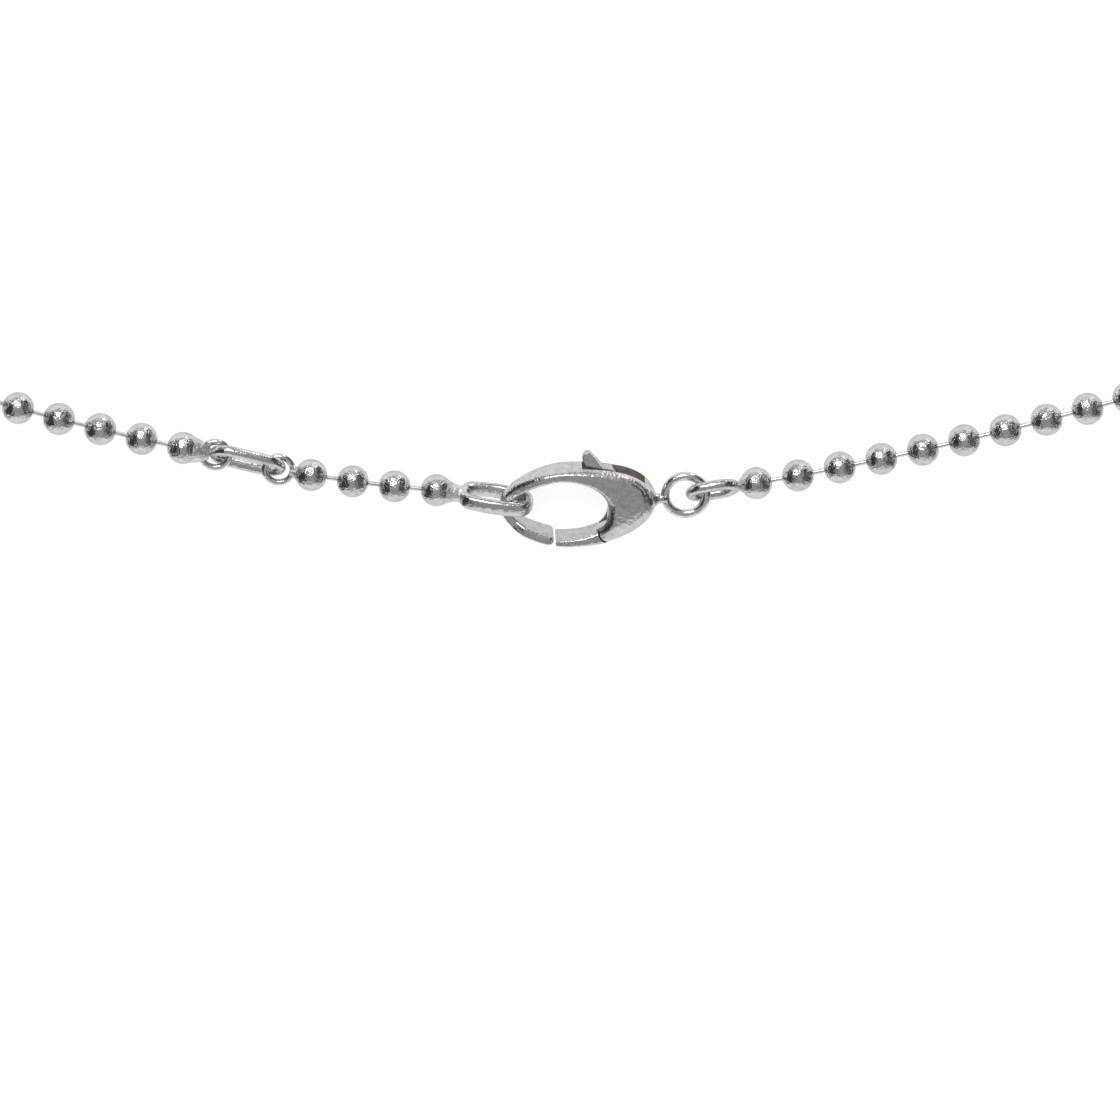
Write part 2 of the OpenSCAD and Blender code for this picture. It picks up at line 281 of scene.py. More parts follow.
def copies(name, model, frames):
    """One copy of the model, with its own mesh, in each frame, joined to one piece."""
    made = []
    for place in frames:
        copy = model.copy()
        copy.data = model.data.copy()
        copy.data.transform(place)
        bpy.context.scene.collection.objects.link(copy)
        made.append(copy)
    return join_all(name, made)


def moved(obj, place):
    obj.data.transform(place)
    return obj


def with_finish(obj, material):
    obj.data.materials.clear()
    obj.data.materials.append(material)
    return obj


def finish_piece(obj, materials, body, nodes, smooth=40):
    """Brings a piece to metres, gives it its finish and sets it on its body."""
    obj.data.transform(Matrix.Scale(MM, 4))
    pick(obj)
    bpy.ops.object.shade_smooth_by_angle(angle=math.radians(smooth))
    if not obj.data.materials:
        obj.data.materials.append(materials[0])
    for i, material in enumerate(materials[:len(obj.data.materials)]):
        obj.data.materials[i] = material
    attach(obj, body)
    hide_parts(*nodes)
    return obj


# Materials

class Wire:
    """A value on its way to a socket. Sums on it add Math nodes."""

    def __init__(self, recipe, socket):
        self.recipe = recipe
        self.socket = socket

    def sum(self, operation, first, second):
        return self.recipe.node("ShaderNodeMath", {"operation": operation}, {0: first, 1: second})[0]

    def __add__(self, other):
        return self.sum("ADD", self, other)

    def __sub__(self, other):
        return self.sum("SUBTRACT", self, other)

    def __rsub__(self, other):
        return self.sum("SUBTRACT", other, self)

    def __mul__(self, other):
        return self.sum("MULTIPLY", self, other)

    def power(self, exponent):
        return self.sum("POWER", self, exponent)

    def absolute(self):
        return self.sum("ABSOLUTE", self, 0.0)

    __radd__ = __add__
    __rmul__ = __mul__


class Recipe:
    """The nodes of one material or of the world's light."""

    def __init__(self, tree):
        self.tree = tree
        tree.nodes.clear()

    def node(self, kind, settings=None, inputs=None):
        """Adds a node, sets it, feeds its sockets and returns its outputs as wires."""
        new = self.tree.nodes.new(kind)
        for key, value in (settings or {}).items():
            setattr(new, key, value)
        for key, value in (inputs or {}).items():
            if isinstance(value, Wire):
                self.tree.links.new(value.socket, new.inputs[key])
            else:
                new.inputs[key].default_value = value
        return [Wire(self, output) for output in new.outputs]

    def smooth_step(self, value, low, high, start=0.0, end=1.0):
        return self.node(
            "ShaderNodeMapRange",
            {"interpolation_type": "SMOOTHSTEP"},
            {"Value": value, "From Min": low, "From Max": high, "To Min": start, "To Max": end},
        )[0]

    def noise(self, place, scale, detail=2.0, roughness=0.5):
        return self.node(
            "ShaderNodeTexNoise", None,
            {"Vector": place, "Scale": scale, "Detail": detail, "Roughness": roughness},
        )[0]

    def vector(self, operation, first, second=None):
        inputs = {0: first} if second is None else {0: first, 1: second}
        return self.node("ShaderNodeVectorMath", {"operation": operation}, inputs)

    def stretched(self, place, scale):
        return self.node("ShaderNodeMapping", None, {"Vector": place, "Scale": scale})[0]

    def mixed(self, amount, first, second):
        return self.node(
            "ShaderNodeMix", {"data_type": "RGBA"}, {"Factor": amount, "A": first, "B": second}
        )[2]


SCRATCH_SCALE = 5200
SCRATCH_STRETCH = (1, 3.5, 2)
GRAIN_SCALE = 1000
PER_METRE = 1 / MM
CORNER_REACH = 0.6 * MM


def silver(name, bright, dull, roughness, dents, dent_size, film_size=1.1, grain=None, metallic=1.0):
    """Worn silver: dents (depth and size in mm), fine scratches, and a dull film in clouds of the
    film's size.
    Corners and contacts are darkened by ambient occlusion, partly as tarnish and partly as painted
    shade.
    A grain stretches a brushed finish along the metal."""
    material = bpy.data.materials.new(name)
    material.use_nodes = True
    r = Recipe(material.node_tree)
    place = r.node("ShaderNodeTexCoord")[3]
    film = r.noise(place, PER_METRE / film_size, 4, 0.65)
    scratch = r.noise(r.stretched(place, SCRATCH_STRETCH), SCRATCH_SCALE, 2, 0.6)
    # Ambient occlusion darkens the colour in corners and where parts touch: partly tarnish, partly
    # painted shade
    corner = r.node("ShaderNodeAmbientOcclusion", {"samples": 8}, {"Distance": CORNER_REACH})[1]
    tarnish_and_corner_shade = r.smooth_step(corner, 0.15, 0.75, 1, 0)
    mottle = r.smooth_step(film, 0.35, 0.7)
    colour = r.mixed(mottle * 0.7 + tarnish_and_corner_shade * 0.6, bright, dull)
    rough = roughness + mottle * 0.07 + scratch * 0.06
    height = r.noise(place, PER_METRE / dent_size, 2.5, 0.55)
    if grain:
        height = height + r.noise(r.stretched(place, grain), GRAIN_SCALE, 3, 0.65) * 1.2
        rough = rough + 0.1
    bump = r.node(
        "ShaderNodeBump", None,
        {"Strength": 1.0, "Distance": dents * MM, "Height": height + scratch * 0.03},
    )[0]
    shader = r.node(
        "ShaderNodeBsdfPrincipled", None,
        {"Base Color": colour, "Metallic": metallic, "Roughness": rough, "Normal": bump},
    )[0]
    r.node("ShaderNodeOutputMaterial", None, {"Surface": shader})
    return material


ball_silver = silver(
    "ball_silver", (0.74, 0.735, 0.72, 1), (0.56, 0.55, 0.53, 1),
    roughness=0.05, dents=0.085, dent_size=0.3, film_size=0.6,
)
# A lighter copy of the silver for the thin bars: its brighter colour is a painted highlight
lit_bar_silver = silver(
    "lit_bar_silver", (0.86, 0.855, 0.84, 1), (0.68, 0.67, 0.66, 1),
    roughness=0.25, dents=0.02, dent_size=0.4,
)
# A lighter copy of the silver for the eyes and the tail ring: its brighter colour is a painted
# highlight
lit_ring_silver = silver(
    "lit_ring_silver", (0.84, 0.835, 0.82, 1), (0.64, 0.63, 0.615, 1),
    roughness=0.12, dents=0.04, dent_size=0.35, film_size=0.7,
)
wire_silver = silver(
    "wire_silver", (0.7, 0.695, 0.685, 1), (0.5, 0.49, 0.475, 1),
    roughness=0.08, dents=0.05, dent_size=0.35, film_size=0.7,
)
cast_silver = silver(
    "cast_silver", (0.72, 0.71, 0.695, 1), (0.5, 0.485, 0.465, 1),
    roughness=0.12, dents=0.065, dent_size=0.35, film_size=0.6,
)
solder_silver = silver(
    "solder_silver", (0.92, 0.9, 0.88, 1), (0.66, 0.64, 0.62, 1),
    roughness=0.38, dents=0.15, dent_size=0.3, film_size=0.5,
)
brushed_silver = silver(
    "brushed_silver", (0.74, 0.73, 0.715, 1), (0.54, 0.525, 0.505, 1),
    roughness=0.18, dents=0.1, dent_size=0.6, film_size=0.6, grain=(0.35, 0.35, 5),
)
# Darker, browner, less metallic silver for the slot's walls: painted shade inside the slot
slot_painted_shade = silver(
    "slot_painted_shade", (0.52, 0.47, 0.44, 1), (0.26, 0.23, 0.21, 1),
    roughness=0.4, dents=0.05, dent_size=0.5, film_size=0.9, metallic=0.35,
)
# Near-black, barely metallic colour for the walls of the seam between gate and body: a painted shadow
# for the dark gap
seam_painted_shadow = silver(
    "seam_painted_shadow", (0.1, 0.095, 0.09, 1), (0.05, 0.047, 0.045, 1),
    roughness=0.5, dents=0.03, dent_size=0.5, film_size=0.9, metallic=0.3,
)


# Chain

def arc_points(radius, start, end, count):
    """Points (radius, height) on a circle about the middle, angles counted from the pole."""
    angles = [start + (end - start) * k / count for k in range(count + 1)]
    return [(radius * sin(a), radius * cos(a)) for a in angles]


def ball_outline(holes):
    """Section of a hollow ball, with the drilled edges slightly rounded."""
    inner_r = BALL_R - BALL_WALL
    out_start = math.degrees(math.asin((HOLE_R + HOLE_LIP) / BALL_R))
    in_start = math.degrees(math.asin(HOLE_R / inner_r))
    lip_top = BALL_R * cos(out_start) - HOLE_LIP
    outer = arc_points(BALL_R, out_start, 180 - out_start, 14)
    inner = arc_points(inner_r, 180 - in_start, in_start, 4)
    if holes == 2:
        return outer + [(HOLE_R, -lip_top)] + inner + [(HOLE_R, lip_top)]
    outer = arc_points(BALL_R, out_start, 180, 15)
    inner = arc_points(inner_r, 180, in_start, 5)
    return outer + inner + [(HOLE_R, lip_top)]


def bar_outline(length):
    """Section of a bar with a round head on each end, from one end of its axis to the other."""
    neck = math.degrees(math.asin(BAR_R / HEAD_R))
    low = [(x, -y) for x, y in arc_points(HEAD_R, 0, 180 - neck, 5)]
    high = [(x, length - y) for x, y in reversed(low)]
    return low + high


def bar_frame(a, b):
    gap = Vector((b[0] - a[0], b[1] - a[1]))
    heading = math.degrees(math.atan2(gap.y, gap.x))
    return on_chain(a, heading) @ Matrix.Translation((0, 0, HEAD_IN))


def make_chain(row, pitch, name, node):
    ball = spun("ball", ball_outline(2), 24)
    balls = copies(name + "_balls", ball, [on_chain(p, h) for p, h in row[1:-1]])
    bar = spun("bar", bar_outline(pitch - 2 * HEAD_IN), 12)
    bars = copies(name + "_bars", bar, [bar_frame(a[0], b[0]) for a, b in zip(row, row[1:])])
    bpy.data.objects.remove(ball)
    bpy.data.objects.remove(bar)
    finish_piece(balls, [ball_silver], "necklace", [node])
    # The bars take the lighter silver, a painted highlight
    finish_piece(bars, [lit_bar_silver], "necklace", [node])


# Links

EYE_WIRE = 0.62
EYE_D = 2.58
EYE_SUNK = 0.06

# Oval links: length, width, wire, how much broader the wire is drawn, bow of the long sides
STATION_OVAL = (7.24, 4.11, 0.88, 0.1, 0.35)
HOOK_OVAL = (6.96, 3.6, 0.84, 0.62, 0.7)
TAIL_OVAL = (5.2, 3.9, 1, 0, 0.35)
BROAD_EDGE = 0.25

# How the links lie: the station link's middle, heading, rise and roll in degrees, and how far from
# the middle of its ball a soldered link begins
STATION_MID = (-30.613, 3.969, 1.694)
STATION_LIE = (-14.54, -0.18, 48.5)
HOOK_LIE = (-7.2, 4.96, 100.4)
HOOK_REACH = BALL_R + 0.59
TAIL_LIE = (189.25, 2.1, -50.6)
TAIL_REACH = BALL_R - 0.05

# Solder necks: start and end along the axis, then the radius at the start, the end and the waist
LONG_EYE_SOLDER = (0.85, 2.5, 1.25, 0.62, 1.02)
SHORT_EYE_SOLDER = (1.25, 2.0, 0.8, 0.42, 0.45)
HOOK_SOLDER = (1.0, 2.75, 1.12, 0.85, 0.84)
TAIL_SOLDER = (1.25, 2.0, 0.8, 0.55, 0.5)
SOLDER_STEPS = 8


def ring(name, mean_d, wire, around=40, section=18):
    bpy.ops.object.select_all(action="DESELECT")
    bpy.ops.mesh.primitive_torus_add(
        major_radius=mean_d / 2, minor_radius=wire / 2, major_segments=around, minor_segments=section
    )
    return newest(name)


def oval_ring(name, length, width, wire, broad, bow):
    """A ring whose halves are pulled apart, with its wire drawn broader. Bow rounds the long sides."""
    obj = ring(name, width - wire, wire, 48, 24)
    pull = (length - width) / 2
    reach = (width - wire) / 2
    for vertex in obj.data.vertices:
        share = max(-1, min(1, vertex.co.x / (bow * reach)))
        vertex.co.x += pull * share
        vertex.co.z += broad / 2 * max(-1, min(1, vertex.co.z / (BROAD_EDGE * wire)))
    return obj


def end_ball(name, place, heading):
    return moved(spun(name, ball_outline(1), 28), on_chain(place, heading))


def solder_neck(name, start, end, start_r, end_r, waist_r):
    """Flared neck along the z axis."""
    side = []
    for k in range(SOLDER_STEPS + 1):
        t = k / SOLDER_STEPS
        flare = start_r + (end_r - start_r) * t
        pinch = 4 * t * (1 - t)
        side.append((flare + (waist_r - (start_r + end_r) / 2) * pinch, start + (end - start) * t))
    return spun(name, [(0, start)] + side + [(0, end)], 20)


def make_eye(name, row_end, solder, node):
    """The row's last ball with its round eye."""
    place, heading = row_end
    reach = BALL_R + (EYE_D + EYE_WIRE) / 2 - EYE_SUNK
    frame_here = on_chain(place, heading)
    ball = end_ball("end_ball", place, heading + 180)
    eye = ring("eye", EYE_D, EYE_WIRE)
    moved(eye, frame_here @ Matrix.Translation((0, 0, reach)) @ turned_by(y=90))
    neck = moved(solder_neck("neck", *solder), frame_here)
    # The eye ring takes the lighter silver, a painted highlight
    for part, finish in ((ball, ball_silver), (eye, lit_ring_silver), (neck, solder_silver)):
        with_finish(part, finish)
    piece = join_all(name, [ball, eye, neck])
    finish_piece(piece, [ball_silver, lit_ring_silver, solder_silver], "necklace", [node])


def make_station_link():
    place = set_down(*STATION_MID) @ lying_link(*STATION_LIE)
    link = moved(oval_ring("station", *STATION_OVAL), place)
    link = join_all("spare_oval_link", [link])
    finish_piece(link, [wire_silver], "necklace", ["station_link"])


def make_soldered_link(name, ball, ball_heading, lie, size, reach, solder, node):
    """A ball with the oval link soldered to it."""
    place = set_down(ball[0], ball[1], BALL_R) @ lying_link(*lie)
    link = moved(oval_ring("oval", *size), place @ Matrix.Translation((reach + size[0] / 2, 0, 0)))
    joint = moved(solder_neck("neck", *solder), place @ turned_by(y=90))
    ball = end_ball("end_ball", ball, ball_heading)
    for part, finish in ((ball, ball_silver), (link, wire_silver), (joint, solder_silver)):
        with_finish(part, finish)
    piece = join_all(name, [ball, link, joint])
    finish_piece(piece, [ball_silver, wire_silver, solder_silver], "necklace", [node])


# Clasp

# Sections of the clasp at angles round its opening. Inset, bevel and dome are widths in the section.
# Fall, groove and dip lower the front. Arm is how far a section takes the arm's form, from 0 to 1
ANGLE, HALF_DEPTH, DOME, INSET, BEVEL, FALL, GROOVE, ARM, DIP = range(9)
BODY_ROWS = (
    (-58, 1.5, 0.7, 0, 0.45, 0.06, 0, 0, 0.2),
    (-45, 1.52, 1.15, 0, 0.5, 0.1, 0, 0, 0.2),
    (-32, 1.6, 1.75, 0, 0.7, 0.1, 0, 0, 0.15),
    (-18, 1.66, 1.7, 0, 0.8, 0.08, 0, 0, 0.05),
    (0, 1.68, 1.15, 0, 0.72, 0.02, 0.06, 0, 0),
    (20, 1.68, 0.6, 0, 0.5, 0, 0.15, 0.05, 0),
    (33, 1.67, 0.58, 0, 0.38, 0, 0.12, 0.2, 0),
    (45, 1.65, 0.7, 0, 0.3, 0, 0.02, 0.5, 0),
    (70, 1.62, 0.75, 0, 0.1, 0, 0, 0.9, 0),
    (90, 1.58, 0.6, 0, 0.05, 0, 0, 1, 0),
    (105, 1.48, 0.6, 0, 0.05, 0, 0, 1, 0),
    (120, 1.3, 0.6, 0, 0.05, 0, 0, 1, 0),
    (135, 1.03, 0.6, 0, 0.05, 0, 0, 1, 0),
    (150, 0.78, 0.5, 0, 0.05, 0, 0, 1, 0),
    (165, 0.66, 0.4, 0, 0.05, 0, 0, 0.9, 0),
    (190, 0.66, 0.3, 0.03, 0.1, 0, 0, 0.5, 0),
    (205, 0.8, 0.3, 0.18, 0.15, 0, 0, 0.2, 0),
    (222, 1.35, 0.3, 0.45, 0.25, 0, 0, 0, 0),
    (240, 1.55, 0.35, 0.47, 0.3, 0, 0, 0, 0),
    (263, 1.6, 0.35, 0.36, 0.3, 0, 0, 0, 0),
)
GATE_ROWS = (
    (-97, 1.5, 0.35, 0, 0.12, 0, 0, 0, 0),
    (-60, 1.5, 0.55, 0, 0.16, 0, 0, 0, 0.15),
    (-30, 1.52, 0.9, 0, 0.5, 0, 0, 0, 0.2),
)
# The arm's form, in shares of its thickness and of its half depth: flat, a ridge, a steep wall
ARM_FORM = (
    (0, 0.94), (0.07, 0.98), (0.14, 1), (0.48, 0.985), (0.58, 0.955), (0.66, 0.9), (0.72, 0.82),
    (0.78, 0.69), (0.85, 0.49), (0.92, 0.27), (1, 0),
)


def table_value(t, rows, column):
    """Value of a column at an angle, with a smooth course between the rows."""
    last = len(rows) - 1
    i = max(k for k in range(last) if rows[k][ANGLE] <= t or k == 0)
    a, b = rows[i], rows[i + 1]
    span = b[ANGLE] - a[ANGLE]
    s = max(0, min(1, (t - a[ANGLE]) / span))

    def slope(k):
        if k in (0, last):
            return 0
        before, here, after = rows[k - 1], rows[k], rows[k + 1]
        left = (here[column] - before[column]) / (here[ANGLE] - before[ANGLE])
        right = (after[column] - here[column]) / (after[ANGLE] - here[ANGLE])
        if left * right <= 0:
            return 0
        return 2 * left * right / (left + right)

    m0, m1 = slope(i) * span, slope(i + 1) * span
    return (
        a[column] * (1 + 2 * s) * (1 - s) ** 2 + m0 * s * (1 - s) ** 2
        + b[column] * s * s * (3 - 2 * s) - m1 * s * s * (1 - s)
    )


def signed_power(x, e):
    return math.copysign(abs(x) ** e, x)


def opening_point(t):
    right = cos(t) > 0
    power = 2.5 if right and sin(t) < 0 else 2.12 if right else 2
    drop = 0.7 * max(0, -cos(t)) * max(0, sin(t))
    reach = OPENING_A - 0.15 if right else OPENING_A
    return Vector((
        OPENING_MID[0] + reach * signed_power(cos(t), 2 / power),
        OPENING_MID[1] + OPENING_B * signed_power(sin(t), 2 / power) - drop,
    ))


def outline_point(t):
    s = t + 15 * sin(t) + 9 * sin(2 * t)
    return Vector((
        (CLASP_A + (0.1 if cos(s) < 0 else 0)) * cos(s),
        CLASP_B * sin(s) - CLASP_DROP + 0.4 * max(0, cos(s)) ** 2,
    ))


def arm_height(share):
    """Height of the arm's form at a share of its thickness."""
    for (a, high), (b, low) in zip(ARM_FORM, ARM_FORM[1:]):
        if share <= b:
            return high + (low - high) * (share - a) / (b - a)
    return 0


BEVEL_STEPS = 4
FACE_STEPS = 5
DOME_STEPS = 9
BEVEL_DROP = 0.75
GROOVE_W = 0.12
LIP_W = 0.12
EDGE_W = 0.07

# Angles and steps of the two sweeps, then the hook's tip: angles, and how far it is rounded in
BODY_SWEEP = (-58, 255, 120)
GATE_SWEEP = (-97, -30, 28)
HOOK_TIP = ((257, 0.01), (258.6, 0.04), (260, 0.1), (261.1, 0.17), (261.9, 0.26), (262.4, 0.38))


def clasp_section(t, rows, tuck=0.0):
    """Points round one section of the clasp, from the opening out over the front and back behind."""
    h, dome, inset, bevel, fall, groove, arm, dip = (
        table_value(t, rows, column)
        for column in (HALF_DEPTH, DOME, INSET, BEVEL, FALL, GROOVE, ARM, DIP)
    )
    inner = opening_point(t)
    way = outline_point(t) - inner
    out = way.normalized()
    thick = way.length + inset
    rim = thick - dome
    start = inner - out * inset

    def height(q, front):
        top = h - front * dip
        if q < bevel:
            flat = top - BEVEL_DROP * bevel * (1 - q / bevel) ** 2
        elif q < rim:
            flat = top - front * fall * ((q - bevel) / (rim - bevel)) ** 2
        else:
            flat = (top - front * fall) * math.sqrt(max(0, 1 - ((q - rim) / dome) ** 2))
        flat -= front * groove * math.exp(-((q - rim) / GROOVE_W) ** 2)
        return flat * (1 - arm) + h * arm_height(q / thick) * arm

    wide = rim - bevel
    lip = min(LIP_W, wide / 12)
    reaches = [bevel * k / BEVEL_STEPS for k in range(BEVEL_STEPS)]
    reaches += [bevel + (wide - 2 * lip) * k / FACE_STEPS for k in range(FACE_STEPS + 1)]
    reaches += [rim - lip, rim, rim + min(EDGE_W, dome / 12)]
    reaches += [rim + dome * sin(90 * k / DOME_STEPS) for k in range(1, DOME_STEPS)]
    front = [(q, height(q, 1)) for q in reaches]
    back = [(q, -height(q, 0)) for q in reversed(reaches)]
    points = []
    for q, z in front + [(thick, 0)] + back:
        q = (q - thick / 2) * (1 - 2 * tuck / thick) + thick / 2
        points.append(Vector((start.x + out.x * q, start.y + out.y * q, z * (1 - tuck / h))))
    return points


def swept_clasp(name, angles, rows, tip=()):
    """The clasp's metal over the angles, then over the tip's own (angle, tuck), which round it off."""
    rings = [clasp_section(t, rows) for t in angles]
    rings += [clasp_section(t, rows, tuck) for t, tuck in tip]
    return wrapped(name, rings)


def even_steps(start, end, count):
    return [start + (end - start) * k / count for k in range(count + 1)]


def plate(name, outline, thick, bevel=0.0):
    """A flat plate with the outline given, its edges rounded."""
    bpy.ops.object.select_all(action="DESELECT")
    bpy.ops.mesh.primitive_circle_add(vertices=len(outline), radius=1, fill_type="NGON")
    obj = newest(name)
    for vertex, (x, y) in zip(obj.data.vertices, outline):
        vertex.co = (x, y, -thick / 2)
    pick(obj)
    bpy.ops.object.mode_set(mode="EDIT")
    bpy.ops.mesh.select_all(action="SELECT")
    bpy.ops.mesh.extrude_region_move(TRANSFORM_OT_translate={"value": (0, 0, thick)})
    bpy.ops.mesh.select_all(action="SELECT")
    bpy.ops.mesh.normals_make_consistent(inside=False)
    bpy.ops.object.mode_set(mode="OBJECT")
    if bevel:
        rounded = obj.modifiers.new("rounded", "BEVEL")
        rounded.width = bevel
        rounded.segments = 3
        rounded.limit_method = "ANGLE"
        rounded.angle_limit = math.radians(50)
        bpy.ops.object.modifier_apply(modifier=rounded.name)
    return obj


def cylinder(name, x, y, radius, depth, vertices=48):
    bpy.ops.object.select_all(action="DESELECT")
    bpy.ops.mesh.primitive_cylinder_add(vertices=vertices, radius=radius, depth=depth)
    return moved(newest(name), Matrix.Translation((x, y, 0)))


ROOT_WEDGE = [PIVOT] + [
    (PIVOT[0] + WEDGE_R * cos(a), PIVOT[1] + WEDGE_R * sin(a)) for a in range(148, 257, 6)
]
GATE_ROOM = [
    (-2.14, -0.8), (-2.14, -3.75), (-2.02, -4.05), (-1.7, -4.3), (-1.2, -4.6), (2.84, -4.93),
    PIVOT, (0.92, -0.815),
]
SLOT_OUTLINE = [
    (0.3, 6), (0.3, 3.25), (0.85, 2.9), (1.9, 2.3), (2.78, 1.5), (3.3, 0.6), (3.48, -0.4),
    (3.28, -1), (2.9, -1.4), (1, -1.4), (1, -3.2), (1.9, -3.3), (2.6, -3.42), (3.46, -3.32),
    (4.3, -3.05), (5, -2.4), (5.8, -1.2), (6.2, 0.6), (6.1, 3), (6.1, 6),
]
LEVER_OUTLINE = [
    (0.66, 3.59), (0.38, 4.2), (0.33, 4.55), (0.45, 4.8), (0.65, 4.96), (0.95, 5.04), (1.06, 4.96),
    (2.23, 3.55), (3.1, 3.4), (3.4, 3.1), (3.75, 2.4), (4.3, 1.4), (4.62, 0), (4.55, -1.4),
    (4.26, -2.4), (3.9, -3.05), (3.3, -3.18), (2.5, -3.25), (1.6, -3.2), (1.3, -2.95),
    (1.75, -2.6), (2.7, -2), (3.2, -1.45), (3.62, -0.4), (3.42, 0.75), (2.87, 1.72), (2, 2.48),
    (1.2, 3.05),
]


def brush_inside(obj):
    """Gives the faces that look into the opening the brushed finish."""
    obj.data.materials.append(brushed_silver)
    middle = Vector((OPENING_MID[0], OPENING_MID[1], 0))
    for face in obj.data.polygons:
        to_middle = middle - face.center
        to_middle.z = 0
        if abs(face.normal.z) < 0.3 and face.normal.dot(to_middle.normalized()) > 0.25:
            face.material_index = len(obj.data.materials) - 1


CUT_DEPTH = 5
DRILL_DEPTH = 6
CLASP_SMOOTH = 32


def make_clasp_body():
    body = swept_clasp("clasp", even_steps(*BODY_SWEEP), BODY_ROWS, HOOK_TIP)
    with_finish(body, cast_silver)
    brush_inside(body)
    wedge = plate("wedge", ROOT_WEDGE, CUT_DEPTH)
    cut_with(wedge, cylinder("knuckle", *PIVOT, SEAM_R, DRILL_DEPTH, 96))
    # The seam's walls take the near-black finish: painted shadow in the gap
    cut_with(body, with_finish(wedge, seam_painted_shadow))
    # The slot's walls take the darker finish: painted shade
    cut_with(body, with_finish(plate("slot", SLOT_OUTLINE, SLOT_W), slot_painted_shade))
    tail = moved(ring("tail", TAIL_D, TAIL_WIRE, 56, 22), Matrix.Translation((*TAIL_MID, 0)))
    reach = Vector((TAIL_MID[0] - NECK_START[0], TAIL_MID[1] - NECK_START[1]))
    heading = math.degrees(math.atan2(reach.y, reach.x))
    neck = solder_neck("neck", 0, reach.length - NECK_SHORT, *NECK_RADII)
    moved(neck, Matrix.Translation((*NECK_START, 0)) @ turned_by(y=90, z=heading))
    # The tail ring takes the lighter silver, a painted highlight
    for part, finish in ((tail, lit_ring_silver), (neck, cast_silver)):
        with_finish(part, finish)
    clasp = moved(join_all("clasp_hook_and_cheeks", [body, tail, neck]), CLASP_FRAME)
    finish_piece(
        clasp, [cast_silver, brushed_silver, seam_painted_shadow, slot_painted_shade, lit_ring_silver],
        "necklace", ["clasp_body"], CLASP_SMOOTH,
    )


def make_clasp_lever():
    gate = swept_clasp("gate", even_steps(*GATE_SWEEP), GATE_ROWS)
    with_finish(gate, cast_silver)
    brush_inside(gate)
    knuckle = cylinder("knuckle", *PIVOT, SEAM_R + SEAM_GAP, DRILL_DEPTH, 96)
    # The gate's side of the seam takes the near-black finish: painted shadow in the gap
    cut_with(gate, with_finish(knuckle, seam_painted_shadow))
    cut_with(gate, with_finish(plate("room", GATE_ROOM, CUT_DEPTH), cast_silver), "INTERSECT")
    web = with_finish(plate("web", LEVER_OUTLINE, LEVER_W, 0.1), cast_silver)
    cut_with(web, with_finish(cylinder("bore", *PIVOT, BORE_R, BORE_DEPTH), cast_silver))
    for vertex in web.data.vertices:
        vertex.co.z *= 1 - NIB_TAPER * max(0, min(1, (vertex.co.y - NIB_FOOT) / NIB_TALL))
    lever = moved(join_all("clasp_gate_and_nib", [gate, web]), CLASP_FRAME)
    finish_piece(
        lever, [cast_silver, brushed_silver, seam_painted_shadow],
        "lever", ["clasp_lever"], CLASP_SMOOTH,
    )


make_chain(LONG_ROW, PITCH, "long_chain", "chain_long")
make_chain(SHORT_ROW, SHORT_PITCH, "short_chain", "chain_short")
make_eye("long_chain_end", LONG_ROW[-1], LONG_EYE_SOLDER, "long_chain_eye")
make_eye("short_chain_end", SHORT_ROW[-1], SHORT_EYE_SOLDER, "short_chain_eye")
make_station_link()
make_soldered_link(
    "hook_oval_link", HOOK_BALL, SHORT_ROW[0][1],
    HOOK_LIE, HOOK_OVAL, HOOK_REACH, HOOK_SOLDER, "hook_link",
)
make_soldered_link(
    "tail_oval_link", TAIL_BALL, HEADINGS[0],
    TAIL_LIE, TAIL_OVAL, TAIL_REACH, TAIL_SOLDER, "tail_link",
)
make_clasp_body()
make_clasp_lever()
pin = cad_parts["clasp_pin"]
pin.data.materials.clear()
pin.data.materials.append(cast_silver)


# Light, floor and camera

CAMERA_TILT = 24
FRAME_WIDTH = 103.7
CAMERA_AWAY = 3000
SENSOR = 36
CAMERA_WAY = Vector((0, sin(CAMERA_TILT), cos(CAMERA_TILT)))
CAMERA_UP = Vector((0, cos(CAMERA_TILT), -sin(CAMERA_TILT)))
CAMERA_AIM = Vector((-0.105, -59.1, 1.96))


def make_camera():
    data = bpy.data.cameras.new("camera")
    camera = bpy.data.objects.new("camera", data)
    bpy.context.scene.collection.objects.link(camera)
    data.sensor_width = SENSOR
    data.sensor_fit = "HORIZONTAL"
    data.lens = SENSOR * CAMERA_AWAY / FRAME_WIDTH
    data.clip_start = 0.05
    data.clip_end = 50
    camera.location = (CAMERA_AIM + CAMERA_WAY * CAMERA_AWAY) * MM
    camera.rotation_euler = (math.radians(-CAMERA_TILT), 0, 0)
    bpy.context.scene.camera = camera


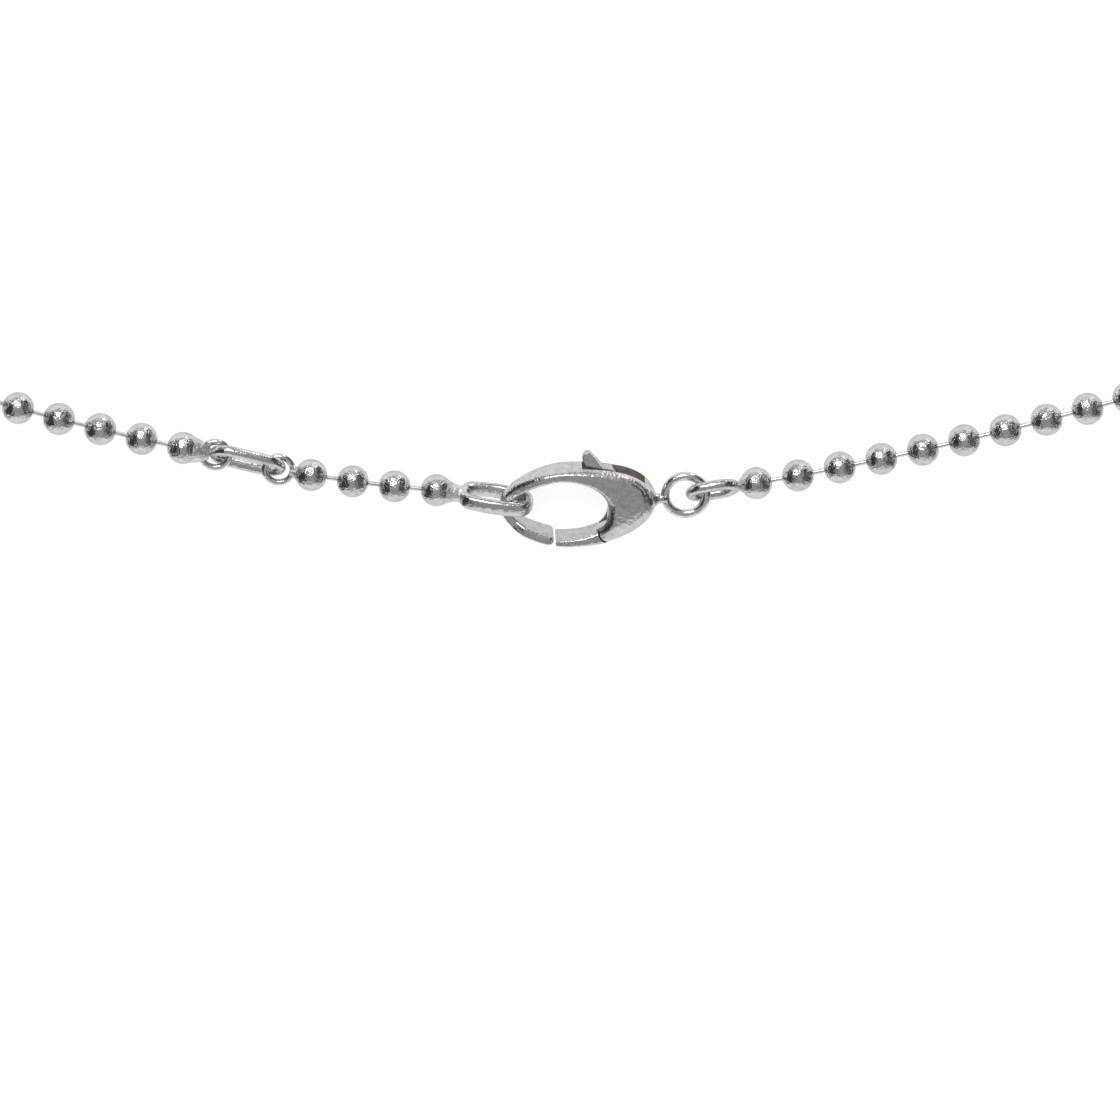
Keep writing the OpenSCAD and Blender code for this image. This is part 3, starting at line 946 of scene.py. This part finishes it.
def make_world():
    """A grey studio, painted as a polished ball shows it to the camera: x to the right, y up."""
    world = bpy.data.worlds.new("studio")
    bpy.context.scene.world = world
    world.use_nodes = True
    r = Recipe(world.node_tree)
    way = r.node("ShaderNodeTexCoord")[0]
    half = r.vector("ADD", way, CAMERA_WAY)[0]
    half = r.vector("NORMALIZE", half)[0]
    x = r.vector("DOT_PRODUCT", half, Vector((1, 0, 0)))[1]
    y = r.vector("DOT_PRODUCT", half, CAMERA_UP)[1]
    rho = (x * x + y * y).power(0.5)

    def inside(value, low, high, soft):
        return r.smooth_step(value, low, low + soft) * r.smooth_step(value, high - soft, high, 1, 0)

    def spot(mid_x, mid_y, half_w, half_h, soft):
        across = (x - mid_x) * (x - mid_x) * (1 / half_w ** 2)
        along = (y - mid_y) * (y - mid_y) * (1 / half_h ** 2)
        return r.smooth_step(across + along, 1 - soft, 1 + soft, 1, 0)

    brim = rho - x.absolute() * 0.16
    upper = r.smooth_step(y, 0.15, 0.3)
    light = 0.46 + r.smooth_step(y, -0.1, 0.3) * 0.06
    # Each zone is laid over those before it: how far it reaches, and how bright it is
    zones = (
        (spot(-0.16, 0.3, 0.3, 0.22, 0.8), 0.95),
        (inside(x, -0.9, -0.25, 0.07) * inside(y, -0.49, 0.4, 0.07), 0.06),
        (inside(x, 0.25, 0.84, 0.08) * inside(y, -0.42, 0.58, 0.1), 0.12),
        (spot(0.48, 0.36, 0.14, 0.12, 0.4), 0.04),
        (spot(0.7, -0.22, 0.12, 0.15, 0.4), 0.05),
        (inside(y, -0.54, -0.47, 0.03), 0.16),
        (r.smooth_step(y, -0.55, -0.51, 1, 0), 1.12),
        (inside(brim, 0.52, 0.61, 0.03) * upper, 0.2),
        (r.smooth_step(brim, 0.63, 0.67) * r.smooth_step(y, 0.1, 0.22), 1.15),
        (r.smooth_step(rho, 0.86, 0.92), 1.0),
        (inside(brim, 0.6, 0.66, 0.02) * upper * r.smooth_step(x, -0.05, 0.1, 1, 0), 1.6),
        (spot(-0.68, 0.24, 0.05, 0.08, 0.3), 2.0),
        (spot(0.68, -0.02, 0.05, 0.08, 0.3), 1.6),
        (spot(0.25, 0.55, 0.07, 0.13, 0.3), 2.6),
    )
    for amount, value in zones:
        light = light + amount * (value - light)
    seen = r.node("ShaderNodeLightPath")[0]
    plain = r.node("ShaderNodeBackground", None, {"Color": (0.93, 0.93, 0.93, 1), "Strength": 1.0})[0]
    room = r.node("ShaderNodeBackground", None, {"Strength": light})[0]
    both = r.node("ShaderNodeMixShader", None, {0: seen, 1: room, 2: plain})[0]
    r.node("ShaderNodeOutputWorld", None, {"Surface": both})


def make_softbox(name, way, distance, size, radiance):
    """A round lamp that faces the clasp. The camera doesn't see it."""
    data = bpy.data.lights.new(name, "AREA")
    data.shape = "DISK"
    data.size = size
    data.energy = radiance * math.pi ** 2 * (size / 2) ** 2
    lamp = bpy.data.objects.new(name, data)
    bpy.context.scene.collection.objects.link(lamp)
    way = Vector(way).normalized()
    lamp.location = CAMERA_AIM * MM + way * distance
    lamp.rotation_euler = way.to_track_quat("Z", "Y").to_euler()
    lamp.visible_camera = False


def make_floor():
    """A white table. The metal mirrors the studio instead of it."""
    bpy.ops.object.select_all(action="DESELECT")
    bpy.ops.mesh.primitive_plane_add(size=12, location=(0, 0, 0))
    floor = newest("floor")
    floor.visible_glossy = False
    material = bpy.data.materials.new("floor_white")
    material.use_nodes = True
    r = Recipe(material.node_tree)
    matte = r.node(
        "ShaderNodeBsdfPrincipled", None,
        {
            "Base Color": (0.45, 0.45, 0.45, 1), "Roughness": 1.0, "Specular IOR Level": 0.0,
            "Emission Color": (1, 1, 1, 1), "Emission Strength": 0.85,
        },
    )[0]
    r.node("ShaderNodeOutputMaterial", None, {"Surface": matte})
    floor.data.materials.append(material)


make_camera()
make_world()
make_softbox("key_light", way=(-0.19, 0.77, 0.6), distance=1.0, size=0.48, radiance=4.5)
make_floor()
bpy.context.scene.view_settings.view_transform = "Standard"
